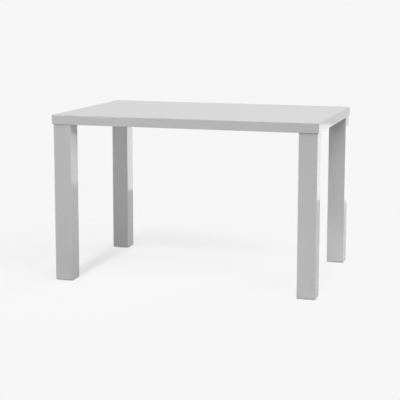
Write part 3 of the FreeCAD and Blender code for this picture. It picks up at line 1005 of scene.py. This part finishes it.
floor_paper = bpy.data.materials.new("Floor paper")
floor_paper.use_nodes = True
tree = floor_paper.node_tree
tree.nodes.clear()
where = add_node(tree, "ShaderNodeTexCoord").outputs["Object"]
reach = vector_math(tree, "DISTANCE", where, SHADE_CENTRE)["Value"]
tooth = place(tree, relief, Vector=where, Size=0.004, Depth=0.0001)
paper_bump = add_node(tree, "ShaderNodeBump", {"Height": tooth["Height"], "Distance": 1.0})
sheet_look = {"Color": grey(SCATTER), "Normal": paper_bump.outputs[0]}
sheet = add_node(tree, "ShaderNodeBsdfDiffuse", sheet_look)
# painted contact shade: an occlusion mask dims the glow that the camera sees near each foot
openness = add_node(tree, "ShaderNodeAmbientOcclusion", {"Distance": CONTACT_SHADE_REACH}, samples=8)
in_camera = add_node(tree, "ShaderNodeLightPath").outputs["Is Camera Ray"]
painted_contact_shade = math_node(tree, "MAXIMUM", openness.outputs["AO"], math_node(tree, "SUBTRACT", 1.0, in_camera))
near_strength = math_node(tree, "MULTIPLY", painted_contact_shade, NEAR_GLOW)
near_glow = add_node(tree, "ShaderNodeEmission", {"Color": PALE, "Strength": near_strength})
near = add_node(tree, "ShaderNodeAddShader", {0: near_glow.outputs[0], 1: sheet.outputs[0]})
far = add_node(tree, "ShaderNodeEmission", {"Color": PALE, "Strength": painted_contact_shade})
clear = add_node(tree, "ShaderNodeBsdfTransparent")
farness = spread(tree, reach, PAPER_FROM, PAPER_TO)
shown = mix_shaders(tree, farness, near, far)
bounce = add_node(tree, "ShaderNodeBsdfDiffuse", {"Color": grey(BOUNCE)})
paper = mix_shaders(tree, seen_rays(tree), bounce, shown)
behind = add_node(tree, "ShaderNodeNewGeometry").outputs["Backfacing"]
away = math_node(tree, "MAXIMUM", behind, spread(tree, reach, FADE_FROM, FADE_TO))
ground = mix_shaders(tree, away, paper, clear)
add_node(tree, "ShaderNodeOutputMaterial", {"Surface": ground.outputs[0]})
print("material", floor_paper.name)

# %% Floor
FLOOR_RADIUS, FLOOR_DROP = 14.0, 0.0005

disc = bmesh.new()
bmesh.ops.create_circle(disc, cap_ends=True, segments=96, radius=FLOOR_RADIUS)
bmesh.ops.translate(disc, verts=disc.verts, vec=(0, 0, -FLOOR_DROP))
floor_mesh = bpy.data.meshes.new("floor")
disc.to_mesh(floor_mesh)
floor_mesh.materials.append(floor_paper)
floor = bpy.data.objects.new("floor", floor_mesh)
bpy.context.scene.collection.objects.link(floor)
print("floor", FLOOR_RADIUS, "m")

# %% [markdown]
# ## Lamps
#
# Three soft boxes light the table. The key stands high beyond its right front corner, the fill low
# in front of its left end, and the side lamp low behind its right end, where it brightens the
# right-hand faces. Cards that lie on the floor throw a little light up: a broad one before each
# right-hand leg, and a narrow one straight before each foot but the back left one, whose front
# stays in shade.
#
# Three low panels behind the table are there for the gloss. They are too weak to light much, but
# seen from the camera, the right-hand face of each leg mirrors its own patch of the studio: the
# floor in its lower half, and a panel in its upper half, which puts a step into the shine. The back
# left leg has the left panel, the front left leg the middle one, and the two right-hand legs share
# the right one. None of the lamps is seen by the camera.

# %% Three kinds of lamp
PANEL_FOOT, CARD_LEVEL = 0.02, 0.004


def soft_box(name, at, towards, width, height, power):
    """A rectangular lamp at a place, facing another."""
    lamp = bpy.data.lights.new(name, "AREA")
    lamp.shape = "RECTANGLE"
    lamp.size, lamp.size_y = width, height
    lamp.energy = power
    box = bpy.data.objects.new(name, lamp)
    box.location = at
    box.rotation_euler = (Vector(towards) - Vector(at)).to_track_quat("-Z", "Y").to_euler()
    box.visible_camera = False
    bpy.context.scene.collection.objects.link(box)
    return box


def upright_panel(name, x, y, width, height, power):
    """A panel that stands on the floor and faces the front."""
    level = PANEL_FOOT + height / 2
    return soft_box(name, (x, y, level), (x, 0.0, level), width, height, power)


def floor_card(name, x, y, width, depth, power):
    """A card that lies on the floor and throws its light up; no mirror shows it."""
    card = soft_box(name, (x, y, CARD_LEVEL), (x, y, 1.0), width, depth, power)
    card.visible_glossy = False
    return card


# %% Soft boxes, panels and cards
MIDDLE = (0.0, 0.0, 0.45)

side_lamp = soft_box("side lamp", (1.4, 2.2, 0.8), MIDDLE, 0.5, 0.5, 37.8)
side_lamp.visible_glossy = False  # it would glint along the arrises
lamps = [
    soft_box("key lamp", (1.6, -1.6, 3.0), MIDDLE, 1.2, 1.2, 44.6),
    soft_box("fill lamp", (-1.57, -2.71, 1.07), MIDDLE, 1.0, 1.0, 32.8),
    side_lamp,
    upright_panel("left panel", 0.056, 1.87, 0.34, 0.54, 0.88),
    upright_panel("middle panel", 0.51, 2.0, 0.40, 0.34, 0.41),
    upright_panel("right panel", 0.93, 1.87, 0.55, 0.48, 0.615),
    floor_card("back card", 0.55, 0.1, 0.3, 0.3, 0.36),
    floor_card("front card", 0.4, -0.75, 0.6, 0.3, 0.84),
    floor_card("right foot card", 0.554, -0.497, 0.08, 0.2, 0.032),
    floor_card("back foot card", 0.554, 0.287, 0.08, 0.05, 0.0104),
    floor_card("left foot card", -0.554, -0.597, 0.08, 0.4, 0.026),
]
print("lamps", [lamp.name for lamp in lamps])

# %% [markdown]
# ## A lamp for the floor
#
# The soft boxes leave hardly a shadow on the pale paper, and a table without one seems to float. A
# stronger lamp would draw it, but would also burn out the front of the table. Light linking solves
# that: a lamp can be told which objects receive its light. This one lights the floor alone, from
# straight in front, with the slightly soft edge of a distant lamp. Its light stops at the floor.
#
# The table isn't quite left as it was, though: with a linked lamp in the scene, however weak, its
# upright faces render a little brighter. The powers of the other lamps allow for that.

# %% A lamp for the floor alone
FLOOR_LAMP_SLOPE, FLOOR_LAMP_SPREAD, FLOOR_LAMP_STRENGTH = math.radians(40), math.radians(9), 6.4

lit_floor = bpy.data.collections.new("lit by the floor lamp")
lit_floor.objects.link(floor)
floor_light = bpy.data.lights.new("floor lamp", "SUN")
floor_light.angle = FLOOR_LAMP_SPREAD
floor_light.energy = FLOOR_LAMP_STRENGTH
floor_light.cycles.max_bounces = 0
floor_lamp = bpy.data.objects.new("floor lamp", floor_light)
floor_lamp.rotation_euler = (math.pi / 2 - FLOOR_LAMP_SLOPE, 0.0, 0.0)
floor_lamp.light_linking.receiver_collection = lit_floor
bpy.context.scene.collection.objects.link(floor_lamp)

# %% [markdown]
# ## Camera
#
# A long lens stands well in front of the table, past its right end, and looks a little down on it.
# Part of the way down is done by shifting the lens instead of tilting it, which keeps the upright
# edges of the legs more nearly parallel.

# %% Camera
EYE = (1.422, -4.791, 1.225)
YAW, PITCH, ROLL = math.radians(-16.9), math.radians(8.04), math.radians(0.10)
FOCAL_PIXELS, IMAGE_PIXELS, AXIS_ROW = 1085.0, 400, 160

camera_data = bpy.data.cameras.new("camera")
camera_data.sensor_width = 36.0
camera_data.lens = FOCAL_PIXELS / IMAGE_PIXELS * camera_data.sensor_width
camera_data.shift_y = (AXIS_ROW - IMAGE_PIXELS / 2) / IMAGE_PIXELS
camera_data.clip_end = 100.0
camera = bpy.data.objects.new("camera", camera_data)
heading = Matrix.Rotation(-YAW, 4, "Z")
tilt = Matrix.Rotation(math.pi / 2 - PITCH, 4, "X")
aim = heading @ tilt @ Matrix.Rotation(ROLL, 4, "Z")
camera.matrix_world = Matrix.Translation(EYE) @ aim
bpy.context.scene.collection.objects.link(camera)
bpy.context.scene.camera = camera
bpy.context.scene.view_settings.view_transform = "Standard"
print("lens", round(camera_data.lens, 2), "mm, shift", camera_data.shift_y)
